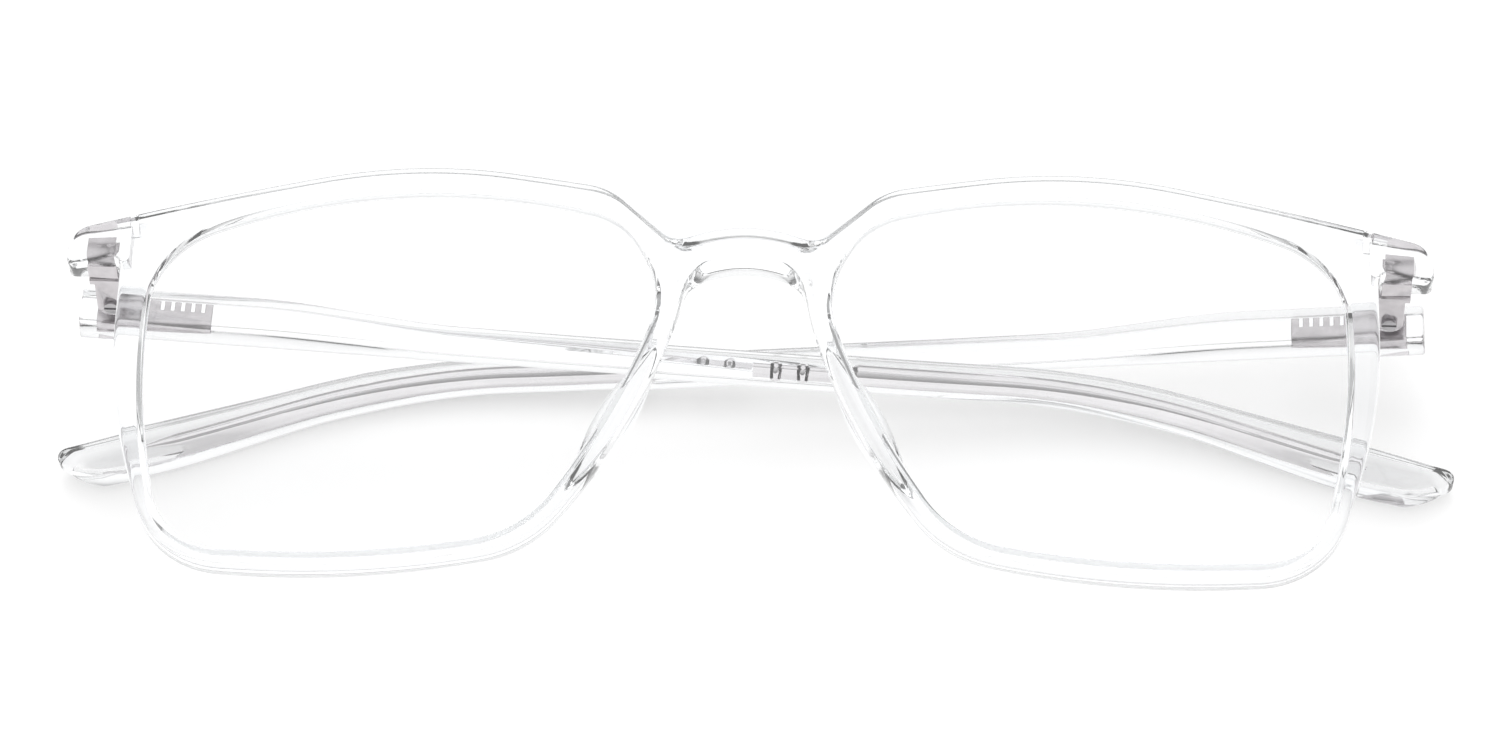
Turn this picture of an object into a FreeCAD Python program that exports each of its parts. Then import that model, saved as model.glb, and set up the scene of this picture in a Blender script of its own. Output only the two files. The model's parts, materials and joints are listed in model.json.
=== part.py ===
import FreeCAD, Part
import math
import os
from FreeCAD import Placement, Rotation, Vector

# Square eyeglasses in clear plastic, lying folded on their temples with the front facing up.
# Each half is drawn on the wearer-neutral right (+X) and mirrored for the left (-X).
# Front frame coordinates: X across, Y up the lenses, Z out of the front, origin at the foremost
# point of the bridge. Hinge coordinates: x outward, y along the hinge axis, z forward, temple open.

# Front: bow, rims and bridge (mm)
front_bow_radius = 250.0
rim_thickness = 2.8
bridge_depth = 4.3
bridge_half_width = 6.5

# Corner points of the lens opening: across, up, rounding radius
opening_corners = [
    (34.5, 24.0, 68.0),
    (60.5, 17.3, 9.0),
    (61.3, -0.3, 80.0),
    (57.7, -18.0, 8.9),
    (37.3, -20.7, 86.0),
    (21.4, -18.9, 11.1),
    (12.5, -5.3, 70.0),
    (7.9, 8.7, 11.4),
    (12.4, 17.1, 8.5),
]

# Endpiece, the lug that carries the hinge
endpiece_reach = 70.0
endpiece_top = 20.8
endpiece_height = 4.3
endpiece_depth = 5.2
endpiece_inner_side = 63.2

# Corner points of the front's outer outline, from the middle of the brow round to the middle of
# the bridge's underside
outer_corners = [
    (0.0, 16.8, 14.0),
    (7.2, 14.1, 2.2),
    (13.9, 20.8, 7.7),
    (33.6, 25.1, 60.0),
    (endpiece_reach, endpiece_top, 3.6),
    (endpiece_reach, endpiece_top - endpiece_height, 1.0),
    (64.2, endpiece_top - endpiece_height, 1.0),
    (64.3, -0.4, 60.0),
    (58.6, -19.4, 11.3),
    (37.7, -22.9, 79.6),
    (20.6, -20.3, 11.3),
    (9.1, -5.5, 59.0),
    (5.6, 10.9, 3.8),
    (0.0, 12.6, 10.9),
]

# Moulded nose pads
pad_top = (7.9, 4.0)
pad_bottom = (17.6, -14.6)
pad_half_width = 1.7
pad_half_depth = 3.0
pad_back = 3.6
pad_sections = 11

# Lenses and their groove
lens_thickness = 1.4
lens_inset = 0.75
bevel_height = 0.55
groove_clearance = 0.06

# Hinge
pantoscopic_tilt = 8.0
axis_from_middle = 65.8
axis_behind_endpiece = 3.45
axis_below_endpiece_middle = 0.35
barrel_radius = 1.45
barrel_bore_clearance = 0.03
knuckle_height = 1.4
ear_height = 1.2
ear_gap = 0.05
flange_thickness = 0.6
flange_lip = 0.3
insert_depth = 2.6
insert_width = 3.0
insert_shift = 0.5
screw_shank_radius = 0.6
screw_head_radius = 0.8
screw_head_height = 0.35
slot_width = 0.3
insert_clearance = 0.03

# Tang of the temple hinge, anchored in the plastic by its teeth
tang_thickness = 1.5
tang_height = 2.8
tang_drop = 0.5
tang_front = 1.6
tang_back = 10.4
tooth_pitch = 1.05
tooth_gap = 0.42
tooth_depth = 0.9
tooth_count = 4

# Temple
temple_length = 142.0
temple_gap = 0.12
butt_clearance = 0.06
bend_start = 91.5
bend_radius = 69.5
bend_angle = 18.6
tip_curl = 3.8
curl_start = 80.0
section_spacing = 6.5
corner_share = 0.62
tip_rounding = 3.2

# Along the temple: distance from the hinge axis, height, thickness, height of the middle line
temple_stations = [
    (15.0, 4.2, 3.4, -0.45),
    (36.0, 3.1, 2.8, -1.6),
    (93.0, 3.3, 2.8, -1.7),
    (112.0, 3.7, 3.0, -1.8),
    (131.0, 5.0, 3.3, -2.2),
    (temple_length, 4.8, 3.2, -2.4),
]

# Core wire
wire_start = 66.5
wire_end = 132.0
wire_radius = 0.75
wire_crimp_length = 10.0
wire_crimp_radius = 0.45
bead_radius = 0.7
bead_places = (2.4, 5.2)
bead_rings = (-0.77, -0.42, 0.0, 0.42, 0.77)
wire_point_length = 4.0
wire_point_radius = 0.25
wire_shoulder = 1.0
wire_clearance = 0.03

# Fold: how far each temple stays short of lying square across, how its axis leans sideways, and
# how much more it leans back than both are meant to, which lets the opening temples pass
left_fold_shortfall = 3.4
right_fold_shortfall = 7.2
left_axis_cant = -1.6
right_axis_cant = 1.4
left_extra_tilt = 0.6
right_extra_tilt = -0.6

# How the folded glasses lie on a table
lean_forward = 10.1
lean_sideways = 3.9

X_AXIS = Vector(1, 0, 0)
Y_AXIS = Vector(0, 1, 0)
Z_AXIS = Vector(0, 0, 1)
ORIGIN = Vector(0, 0, 0)


def bow_drop(across, up=0.0):
    """How far the bowed front surface lies behind the origin at a point of the front."""
    return front_bow_radius - math.sqrt(front_bow_radius ** 2 - across ** 2 - up ** 2)


axis_depth = bow_drop(axis_from_middle) + (endpiece_depth + axis_behind_endpiece) * math.cos(
    math.radians(pantoscopic_tilt))
axis_height = (endpiece_top - endpiece_height / 2 - axis_below_endpiece_middle
               - (endpiece_depth + axis_behind_endpiece) * math.sin(math.radians(pantoscopic_tilt)))


def rounded_outline(corners, level=0.0):
    """Closed wire through corner points, each rounded by its own tangent arc."""
    points = [Vector(x, y, level) for x, y, _ in corners]
    arcs = []
    for i, corner in enumerate(points):
        to_last = (points[i - 1] - corner).normalize()
        to_next = (points[(i + 1) % len(points)] - corner).normalize()
        half_angle = to_last.getAngle(to_next) / 2
        radius = corners[i][2]
        reach = radius / math.tan(half_angle)
        middle_line = (to_last + to_next).normalize()
        crown = corner + middle_line * (radius / math.sin(half_angle) - radius)
        arcs.append((corner + to_last * reach, crown, corner + to_next * reach))
    edges = []
    for i, (start, crown, end) in enumerate(arcs):
        edges.append(Part.Arc(start, crown, end).toShape())
        following = arcs[(i + 1) % len(arcs)][0]
        if (following - end).Length > 1e-4:
            edges.append(Part.LineSegment(end, following).toShape())
    return Part.Wire(edges)


def bow_sphere(depth):
    """Ball whose front is the bowed surface that lies a depth behind the front surface."""
    ball = Part.makeSphere(front_bow_radius - depth)
    ball.Placement = Placement(Vector(0, 0, -front_bow_radius),
                               Rotation(-Z_AXIS, -X_AXIS, Y_AXIS, "ZXY"))
    return ball


def bowed_plate(outline, front_depth, back_depth):
    """Plate of an outline, bowed as the front is, between two depths."""
    column = Part.Face(outline).extrude(Vector(0, 0, 50.0))
    column.translate(Vector(0, 0, -40.0))
    return column.common(bow_sphere(front_depth)).cut(bow_sphere(back_depth))


def widened(corners, amount):
    """Corner points of a convex outline moved outward by an amount, listed clockwise."""
    grown = []
    for i, (x, y, radius) in enumerate(corners):
        here = Vector(x, y, 0)
        last = Vector(corners[i - 1][0], corners[i - 1][1], 0)
        following = Vector(*corners[(i + 1) % len(corners)][:2], 0)
        arriving = (here - last).normalize()
        leaving = (following - here).normalize()
        outward = (arriving - leaving).normalize()
        half_turn = arriving.getAngle(leaving) / 2
        moved = here + outward * (amount / math.cos(half_turn))
        grown.append((moved.x, moved.y, radius + amount))
    return grown


def bow_edges(shape, depth):
    """Edges of a shape that lie in the bowed surface at a depth."""
    centre = Vector(0, 0, -front_bow_radius)
    found = []
    for edge in shape.Edges:
        first, last = edge.ParameterRange
        distances = [(edge.valueAt(first + (last - first) * share) - centre).Length
                     for share in (0.0, 0.5, 1.0)]
        if all(abs(distance - front_bow_radius + depth) < 1e-3 for distance in distances):
            found.append(edge)
    return found


def bevelled_plate(outline, front_depth, back_depth, bevel):
    """Bowed plate whose rim is cut back on both faces to a blunt V."""
    plate = bowed_plate(outline, front_depth, back_depth)
    rims = bow_edges(plate, front_depth) + bow_edges(plate, back_depth)
    return plate.makeChamfer(bevel, rims)


def lens():
    """Right lens: bowed, with a V bevel round its edge."""
    outline = rounded_outline(widened(opening_corners, bevel_height - groove_clearance))
    return bevelled_plate(outline, lens_inset, lens_inset + lens_thickness, bevel_height)


def lens_groove():
    """The space the lens bevel needs in the rim, with its clearance."""
    outline = rounded_outline(widened(opening_corners, bevel_height + groove_clearance))
    return bevelled_plate(outline, lens_inset - groove_clearance,
                          lens_inset + lens_thickness + groove_clearance,
                          bevel_height + 2 * groove_clearance)


def hinge_place():
    """Placement of right-hand hinge coordinates in the front frame, without sideways cant."""
    return Placement(Vector(axis_from_middle, axis_height, -axis_depth),
                     Rotation(X_AXIS, -pantoscopic_tilt))


def canted_place(side):
    """Placement of one side's hinge coordinates, with its own cant and tilt, unmirrored."""
    cant, tilt = {"right": (right_axis_cant, right_extra_tilt),
                  "left": (left_axis_cant, left_extra_tilt)}[side]
    lean = Rotation(X_AXIS, -tilt).multiply(Rotation(Z_AXIS, -cant))
    return hinge_place().multiply(Placement(ORIGIN, lean))


def canted(shape, side):
    """Right-hand shape in hinge coordinates, put in the front frame on one side's axis."""
    placed = shape.copy()
    placed.Placement = canted_place(side).multiply(placed.Placement)
    return placed


def folded(shape, shortfall, side):
    """Right-hand temple shape turned from open to its folded rest and put in the front frame."""
    turned = shape.copy()
    fold = Placement(ORIGIN, Rotation(Y_AXIS, 90.0 - shortfall))
    turned.Placement = fold.multiply(turned.Placement)
    return canted(turned, side)


def mirrored(shape):
    """The left-hand twin of a right-hand shape in the front frame."""
    return shape.mirror(ORIGIN, X_AXIS)


def box_between(low, high):
    """Box between two corner points."""
    size = high - low
    return Part.makeBox(size.x, size.y, size.z, low)


def outer_outline():
    """The front's outer outline, both halves."""
    left_half = [(-x, y, r) for x, y, r in reversed(outer_corners[1:-1])]
    return rounded_outline(outer_corners + left_half)


def endpiece(outline):
    """Right endpiece: the front's corner, run back to a flat face that the open temple meets."""
    column = Part.Face(outline).extrude(Vector(0, 0, 50.0))
    column.translate(Vector(0, 0, -40.0))
    region = box_between(Vector(endpiece_inner_side, endpiece_top - endpiece_height - 0.01, -40.0),
                         Vector(endpiece_reach + 1.0, endpiece_top + 5.0, 5.0))
    lug = column.common(region).common(bow_sphere(0.0))
    behind = box_between(Vector(-20.0, -20.0, -40.0), Vector(20.0, 20.0, axis_behind_endpiece))
    behind.Placement = hinge_place()
    return lug.cut(behind)


def nose_pad():
    """Right nose pad: a swelling ridge moulded behind the nasal side of the rim."""
    top = Vector(pad_top[0], pad_top[1], -bow_drop(*pad_top) - pad_back)
    bottom = Vector(pad_bottom[0], pad_bottom[1], -bow_drop(*pad_bottom) - pad_back)
    along = bottom - top
    turn = Rotation(Z_AXIS.cross(along), Z_AXIS, along, "ZYX")
    rings = []
    for number in range(pad_sections):
        share = 0.02 + 0.96 * number / (pad_sections - 1)
        swell = math.sin(math.pi * share) ** 0.7
        ring = Part.Ellipse(ORIGIN, pad_half_depth * swell, pad_half_width * swell).toShape()
        wire = Part.Wire(ring)
        wire.Placement = Placement(top + along * share, turn)
        rings.append(wire)
    return Part.makeLoft(rings, True, True)


def front_frame():
    """Clear moulded front: rims, bridge, nose pads and endpieces, grooved and slotted."""
    outline = outer_outline()
    body = bowed_plate(outline, 0.0, rim_thickness)
    bridge = bowed_plate(outline, 0.0, bridge_depth)
    bridge_zone = box_between(Vector(-bridge_half_width, 5.0, -20.0),
                              Vector(bridge_half_width, 30.0, 5.0))
    body = body.fuse(bridge.common(bridge_zone))
    right_opening = Part.Face(rounded_outline(opening_corners)).extrude(Vector(0, 0, 50.0))
    right_opening.translate(Vector(0, 0, -40.0))
    right_side = [endpiece(outline), nose_pad()]
    for piece in right_side:
        body = body.fuse(piece)
        body = body.fuse(mirrored(piece))
    for cutter in (right_opening, lens_groove()):
        body = body.cut(cutter)
        body = body.cut(mirrored(cutter))
    body = body.cut(canted(front_hinge(insert_clearance), "right"))
    body = body.cut(mirrored(canted(front_hinge(insert_clearance), "left")))
    return body.removeSplitter()


def front_hinge(grow=0.0):
    """Metal half in the endpiece: two ears with barrels, a flange and an anchor block."""
    half = knuckle_height / 2 + ear_gap
    top = half + ear_height
    parts = []
    for low in (half, -top):
        barrel = Part.makeCylinder(barrel_radius, ear_height, Vector(0, low, 0), Y_AXIS)
        web = box_between(Vector(-barrel_radius, low, 0),
                          Vector(barrel_radius, low + ear_height, axis_behind_endpiece))
        parts.append(barrel.fuse(web))
    flange = box_between(
        Vector(-barrel_radius - grow, -top - grow, axis_behind_endpiece - grow),
        Vector(barrel_radius + insert_shift + grow, top + grow,
               axis_behind_endpiece + flange_thickness + grow))
    block = box_between(
        Vector(insert_shift - insert_width / 2 - grow, -top + flange_lip - grow,
               axis_behind_endpiece),
        Vector(insert_shift + insert_width / 2 + grow, top - flange_lip + grow,
               axis_behind_endpiece + insert_depth + grow))
    shape = parts[0].fuse(parts[1]).fuse(flange).fuse(block)
    bore = Part.makeCylinder(screw_shank_radius + barrel_bore_clearance, 20.0,
                             Vector(0, -10.0, 0), Y_AXIS)
    return shape.cut(bore).removeSplitter()


def hinge_screw():
    """Screw that pins the hinge: slotted head under the lower ear, shank through all barrels."""
    half = knuckle_height / 2 + ear_gap + ear_height
    shank = Part.makeCylinder(screw_shank_radius, 2 * half, Vector(0, -half, 0), Y_AXIS)
    head = Part.makeCylinder(screw_head_radius, screw_head_height,
                             Vector(0, -half - screw_head_height, 0), Y_AXIS)
    slot = box_between(Vector(-2.0, -half - screw_head_height - 1.0, -slot_width / 2),
                       Vector(2.0, -half - screw_head_height / 2, slot_width / 2))
    return shank.fuse(head).cut(slot).removeSplitter()


def temple_hinge(grow=0.0):
    """Metal half in the temple: middle barrel, web, and a toothed tang set in the plastic."""
    half = knuckle_height / 2
    inner = barrel_radius + temple_gap
    middle = inner + temple_stations[0][2] / 2
    knuckle = Part.makeCylinder(barrel_radius + grow, 2 * half + 2 * grow,
                                Vector(0, -half - grow, 0), Y_AXIS)
    web = box_between(Vector(0, -half - grow, -barrel_radius - grow),
                      Vector(middle, half + grow, barrel_radius + grow))
    low = -tang_drop - tang_height / 2
    high = -tang_drop + tang_height / 2
    tang = box_between(
        Vector(middle - tang_thickness / 2 - grow, low - grow, -tang_back - grow),
        Vector(middle + tang_thickness / 2 + grow, high + grow, tang_front + grow))
    shape = knuckle.fuse(web).fuse(tang)
    first_gap = tang_back - 1.2 - tooth_count * tooth_pitch
    for number in range(tooth_count + 1):
        place = -(first_gap + number * tooth_pitch)
        notch = box_between(
            Vector(middle - tang_thickness, high - tooth_depth + grow, place - tooth_gap + grow),
            Vector(middle + tang_thickness, high + 1.0, place - grow))
        shape = shape.cut(notch)
    if grow == 0.0:
        bore = Part.makeCylinder(screw_shank_radius + barrel_bore_clearance, 20.0,
                                 Vector(0, -10.0, 0), Y_AXIS)
        shape = shape.cut(bore)
    return shape.removeSplitter()


def eased(place, column):
    """Value of one station column at a place along the temple, eased between stations."""
    last = temple_stations[0]
    if place <= last[0]:
        return last[column]
    for station in temple_stations[1:]:
        if place <= station[0]:
            share = (place - last[0]) / (station[0] - last[0])
            share = share * share * (3 - 2 * share)
            return last[column] + (station[column] - last[column]) * share
        last = station
    return last[column]


def centre_line(place):
    """Point of the open temple's middle line and the angle its bend has reached there."""
    turn = math.radians(bend_angle)
    reached = min(max((place - bend_start) / bend_radius, 0.0), turn)
    rest = max(place - bend_start - bend_radius * turn, 0.0)
    back = (min(place, bend_start) + bend_radius * math.sin(reached) + rest * math.cos(turn))
    drop = bend_radius * (1 - math.cos(reached)) + rest * math.sin(turn)
    curl = tip_curl * (max(place - curl_start, 0.0) / (temple_length - curl_start)) ** 2
    outward = barrel_radius + temple_gap + eased(place, 2) / 2 - curl
    middle = eased(place, 3)
    point = Vector(outward, middle * math.cos(reached) - drop, -back - middle * math.sin(reached))
    return point, reached


def section_place(place):
    """Placement of a flat cross-section at a place along the temple."""
    point, reached = centre_line(place)
    lean = Rotation(X_AXIS, -math.degrees(reached))
    return Placement(point, lean)


def temple_section(place, scale=1.0):
    """Rounded rectangular cross-section of the temple."""
    high = eased(place, 1) * scale
    wide = eased(place, 2) * scale
    radius = corner_share * min(high, wide) / 2
    corners = [(wide / 2, high / 2, radius), (-wide / 2, high / 2, radius),
               (-wide / 2, -high / 2, radius), (wide / 2, -high / 2, radius)]
    wire = rounded_outline(corners)
    wire.Placement = section_place(place)
    return wire


def temple_arm():
    """Clear temple, lofted from its butt to its rounded tip, hollowed for hinge and wire."""
    butt = -(axis_behind_endpiece - butt_clearance)
    full_end = temple_length - tip_rounding
    count = round((full_end - butt) / section_spacing)
    wires = [temple_section(butt + (full_end - butt) * i / count) for i in range(count + 1)]
    for share in (0.35, 0.65, 0.87, 0.985):
        scale = math.sqrt(1 - share ** 2)
        wires.append(temple_section(full_end + tip_rounding * share, scale))
    arm = Part.makeLoft(wires, True, True)
    arm = arm.cut(temple_hinge(insert_clearance))
    return arm.cut(core_wire(wire_clearance))


def wire_ring(place, radius):
    """Circular cross-section of the core wire."""
    ring = Part.Wire(Part.Circle(ORIGIN, Z_AXIS, radius).toShape())
    ring.Placement = section_place(place)
    return ring


def core_wire(grow=0.0):
    """Steel wire in the rear half of the temple, crimped thin in front, pointed behind."""
    crimp_end = wire_start + wire_crimp_length
    shoulder_end = crimp_end + wire_shoulder
    point_start = wire_end - wire_point_length
    thin = wire_crimp_radius + grow
    thick = wire_radius + grow
    steps = round((point_start - shoulder_end) / section_spacing)
    rings = [wire_ring(wire_start - grow, thin)]
    for offset in bead_places:
        for share in bead_rings:
            radius = (bead_radius + grow) * math.sqrt(1 - share ** 2)
            rings.append(wire_ring(wire_start + offset + share * (bead_radius + grow),
                                   max(radius, thin)))
    rings.append(wire_ring(crimp_end, thin))
    rings += [wire_ring(shoulder_end + (point_start - shoulder_end) * i / steps, thick)
              for i in range(steps + 1)]
    rings.append(wire_ring(wire_end + grow, wire_point_radius + grow))
    return Part.makeLoft(rings, True, True)


def laid_down(shape, shift):
    """Shape turned from the front frame to lie on the table, then moved by a shift."""
    placed = shape.copy()
    lean = Rotation(X_AXIS, lean_forward).multiply(Rotation(Y_AXIS, lean_sideways))
    placed.Placement = Placement(shift, lean).multiply(placed.Placement)
    return placed


def main():
    right_lens = lens()
    pieces = {"front_frame": front_frame(), "right_lens": right_lens,
              "left_lens": mirrored(right_lens)}
    fold = {"right": right_fold_shortfall, "left": left_fold_shortfall}
    for side, shortfall in fold.items():
        fixed = {"front_hinge": front_hinge(), "hinge_screw": hinge_screw()}
        swinging = {"temple_hinge": temple_hinge(), "temple_arm": temple_arm(),
                    "core_wire": core_wire()}
        placed = {name: canted(shape, side) for name, shape in fixed.items()}
        placed.update({name: folded(shape, shortfall, side) for name, shape in swinging.items()})
        for name, shape in placed.items():
            pieces[side + "_" + name] = mirrored(shape) if side == "left" else shape

    lying = Part.makeCompound([laid_down(shape, ORIGIN) for shape in pieces.values()])
    bounds = lying.optimalBoundingBox(False, False)
    shift = Vector(-bounds.Center.x, -bounds.Center.y, -bounds.ZMin)
    os.makedirs("parts", exist_ok=True)
    for name, shape in pieces.items():
        final = laid_down(shape, shift)
        final.exportStep("parts/" + name + ".step")
        print(name, "valid", final.isValid(), "solids", len(final.Solids), "volume",
              round(final.Volume, 1))
    for side, shortfall in fold.items():
        lean = Placement(shift, Rotation(X_AXIS, lean_forward).multiply(
            Rotation(Y_AXIS, lean_sideways)))
        place = canted_place(side)
        centre = place.multVec(ORIGIN)
        along = place.Rotation.multVec(Y_AXIS)
        if side == "left":
            centre = Vector(-centre.x, centre.y, centre.z)
            along = Vector(-along.x, along.y, along.z)
        print(side, "hinge centre", lean.multVec(centre), "axis", lean.Rotation.multVec(along),
              "opens", 90.0 - shortfall)
    print("size", bounds.XLength, bounds.YLength, bounds.ZLength)


main()
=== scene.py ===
"""Square eyeglasses in clear plastic, folded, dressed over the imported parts.

Sizes are in millimetres in the front's own coordinates: X across, Y up the lenses, Z out of the
front, with the origin at the foremost point of the bridge. Meshes are made in metres, in the row.
"""

import json
import logging
import math
from dataclasses import dataclass, field
from enum import Enum
from functools import partial
from typing import Callable, Iterable, NamedTuple, Sequence

import bmesh
import bpy
from mathutils import Matrix, Vector


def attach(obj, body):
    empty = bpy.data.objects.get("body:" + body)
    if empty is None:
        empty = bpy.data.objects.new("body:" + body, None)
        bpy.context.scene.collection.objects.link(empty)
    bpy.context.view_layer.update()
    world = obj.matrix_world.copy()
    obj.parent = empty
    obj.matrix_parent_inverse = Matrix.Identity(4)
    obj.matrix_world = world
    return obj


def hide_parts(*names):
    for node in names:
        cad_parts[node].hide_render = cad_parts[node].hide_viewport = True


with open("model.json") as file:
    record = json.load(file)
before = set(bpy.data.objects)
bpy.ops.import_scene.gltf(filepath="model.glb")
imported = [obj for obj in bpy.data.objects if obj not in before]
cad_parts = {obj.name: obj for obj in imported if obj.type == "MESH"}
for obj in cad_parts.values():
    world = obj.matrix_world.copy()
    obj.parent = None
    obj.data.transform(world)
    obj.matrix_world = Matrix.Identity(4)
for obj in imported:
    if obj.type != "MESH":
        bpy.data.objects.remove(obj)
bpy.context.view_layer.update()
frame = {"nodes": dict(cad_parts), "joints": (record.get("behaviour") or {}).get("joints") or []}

LOG = logging.getLogger("eyeglasses")
Corner = tuple[float, float, float]
Colour = tuple[float, float, float]
Loop = list[Vector]
Socket = bpy.types.NodeSocket
MM = 0.001
SHARP_EDGE = 38.0  # degrees
WHITE = (1.0, 1.0, 1.0, 1.0)
IDENTITY = Matrix.Identity(4)
MIRROR = Matrix.Scale(-1, 4, Vector((1.0, 0.0, 0.0)))

ENDPIECE_REACH = 70.0
ENDPIECE_TOP = 20.8
ENDPIECE_HEIGHT = 4.3

# Corners of the right lens opening, clockwise from the brow: across, up and rounding radius
OPENING: tuple[Corner, ...] = (
    (34.5, 24.0, 68.0), (60.5, 17.3, 9.0), (61.3, -0.3, 80.0), (57.7, -18.0, 8.9),
    (37.3, -20.7, 86.0), (21.4, -18.9, 11.1), (12.5, -5.3, 70.0), (7.9, 8.7, 11.4),
    (12.4, 17.1, 8.5))

# Corners of the front's right half, clockwise from the top of the bridge to its underside
OUTER: tuple[Corner, ...] = (
    (0.0, 16.8, 14.0), (7.2, 14.1, 2.2), (13.9, 20.8, 7.7), (33.6, 25.1, 60.0),
    (ENDPIECE_REACH, ENDPIECE_TOP, 2.4), (ENDPIECE_REACH, ENDPIECE_TOP - ENDPIECE_HEIGHT, 0.8),
    (64.2, ENDPIECE_TOP - ENDPIECE_HEIGHT, 1.0), (64.3, -0.4, 60.0),
    (58.6, -19.4, 11.3), (37.7, -22.9, 79.6), (20.6, -20.3, 11.3), (9.1, -5.5, 59.0),
    (5.6, 10.9, 3.8), (0.0, 12.6, 10.9))


def smooth_step(value: float) -> float:
    """Eased 0 to 1 ramp."""
    value = min(max(value, 0.0), 1.0)
    return value * value * (3 - 2 * value)


class Side(Enum):
    """The photograph's two sides, as the sign of X."""

    LEFT = -1
    RIGHT = 1

    @property
    def word(self) -> str:
        """The side's word in piece and node names."""
        return self.name.lower()


class Path2D:
    """Closed outline through corner points, each rounded by its own tangent arc."""

    probe = 0.12

    def __init__(self, corners: Sequence[Corner], arc_steps: int = 24) -> None:
        """Samples the outline.

        Args:
            corners: across, up and rounding radius of each corner.
            arc_steps: steps in each corner's arc.
        """
        self.points: Loop = []
        crowns: list[int] = []
        for index, corner in enumerate(corners):
            after = corners[(index + 1) % len(corners)]
            crowns.append(len(self.points) + arc_steps // 2)
            self.points += self.arc(corners[index - 1], corner, after, arc_steps)
        self.lengths = [0.0]
        for index, point in enumerate(self.points):
            following = self.points[(index + 1) % len(self.points)]
            self.lengths.append(self.lengths[-1] + (following - point).length)
        self.total = self.lengths[-1]
        self.marks = [self.lengths[crown] for crown in crowns]

    @staticmethod
    def arc(before: Corner, corner: Corner, after: Corner, steps: int) -> Loop:
        """Samples the arc that rounds one corner.

        Args:
            before: the corner before it.
            corner: the corner to round.
            after: the corner after it.
            steps: steps in the arc.

        Returns:
            The arc's points.
        """
        here, radius = Vector(corner[:2]), corner[2]
        to_last = (Vector(before[:2]) - here).normalized()
        to_next = (Vector(after[:2]) - here).normalized()
        half = to_last.angle(to_next) / 2
        middle = here + (to_last + to_next).normalized() * (radius / math.sin(half))
        start = here + to_last * (radius / math.tan(half)) - middle
        end = here + to_next * (radius / math.tan(half)) - middle
        turn = start.angle_signed(end)
        found: Loop = []
        for step in range(steps + 1):
            spun = start.copy()
            spun.rotate(Matrix.Rotation(-turn * step / steps, 2))
            found.append(middle + spun)
        return found

    def at(self, length: float) -> Vector:
        """Finds a point of the outline.

        Args:
            length: length along the outline, which may run past its end.

        Returns:
            The point.
        """
        length %= self.total
        low, high = 0, len(self.points)
        while high - low > 1:
            middle = (low + high) // 2
            if self.lengths[middle] <= length:
                low = middle
            else:
                high = middle
        step = self.lengths[low + 1] - self.lengths[low]
        share = (length - self.lengths[low]) / step if step > 0 else 0.0
        return self.points[low].lerp(self.points[(low + 1) % len(self.points)], share)

    def outward(self, length: float) -> Vector:
        """Outward normal of a clockwise outline at a length along it."""
        along = self.at(length + self.probe) - self.at(length - self.probe)
        return Vector((-along.y, along.x)).normalized()


@dataclass(frozen=True)
class Bow:
    """The ball that the front follows."""

    radius: float = 250.0

    def point(self, across: float, up: float, depth: float) -> Vector:
        """Point of the bowed front at a depth behind its front surface."""
        reach = math.sqrt((self.radius - depth) ** 2 - across ** 2 - up ** 2)
        return Vector((across, up, reach - self.radius))


@dataclass(frozen=True)
class HingeSizes:
    """Where the hinge axes lie and how far the temples stand from them."""

    tilt: float = 8.0
    axis_from_middle: float = 65.8
    axis_behind_endpiece: float = 3.45
    axis_below_middle: float = 0.35
    endpiece_depth: float = 5.2
    barrel_radius: float = 1.45
    temple_gap: float = 0.12
    shortfall: dict[Side, float] = field(
        default_factory=lambda: {Side.LEFT: 3.4, Side.RIGHT: 7.2})
    cant: dict[Side, float] = field(
        default_factory=lambda: {Side.LEFT: -1.6, Side.RIGHT: 1.4})
    extra_tilt: dict[Side, float] = field(
        default_factory=lambda: {Side.LEFT: 0.6, Side.RIGHT: -0.6})

    def axis_point(self, bow: Bow) -> Vector:
        """Finds the middle of the right hinge's axis.

        Args:
            bow: the front's bow.

        Returns:
            The point, in the front's coordinates.
        """
        reach = self.endpiece_depth + self.axis_behind_endpiece
        lean = math.radians(self.tilt)
        drop = -bow.point(self.axis_from_middle, 0.0, 0.0).z
        height = ENDPIECE_TOP - ENDPIECE_HEIGHT / 2 - self.axis_below_middle
        return Vector((self.axis_from_middle, height - reach * math.sin(lean),
                       -drop - reach * math.cos(lean)))

    def place(self, bow: Bow) -> Matrix:
        """Right-hand hinge coordinates in the front, without sideways cant."""
        lean = Matrix.Rotation(-math.radians(self.tilt), 4, "X")
        return Matrix.Translation(self.axis_point(bow)) @ lean

    def temple_place(self, side: Side, bow: Bow) -> Matrix:
        """Finds how a temple lies when it is folded.

        Args:
            side: whose cant and fold are used; the left temple is a mirror image.
            bow: the front's bow.

        Returns:
            The matrix from the temple's coordinates to the front's.
        """
        cant = (Matrix.Rotation(-math.radians(self.extra_tilt[side]), 4, "X")
                @ Matrix.Rotation(-math.radians(self.cant[side]), 4, "Z"))
        fold = Matrix.Rotation(math.radians(90.0 - self.shortfall[side]), 4, "Y")
        place = self.place(bow) @ cant @ fold
        return MIRROR @ place if side is Side.LEFT else place


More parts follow.
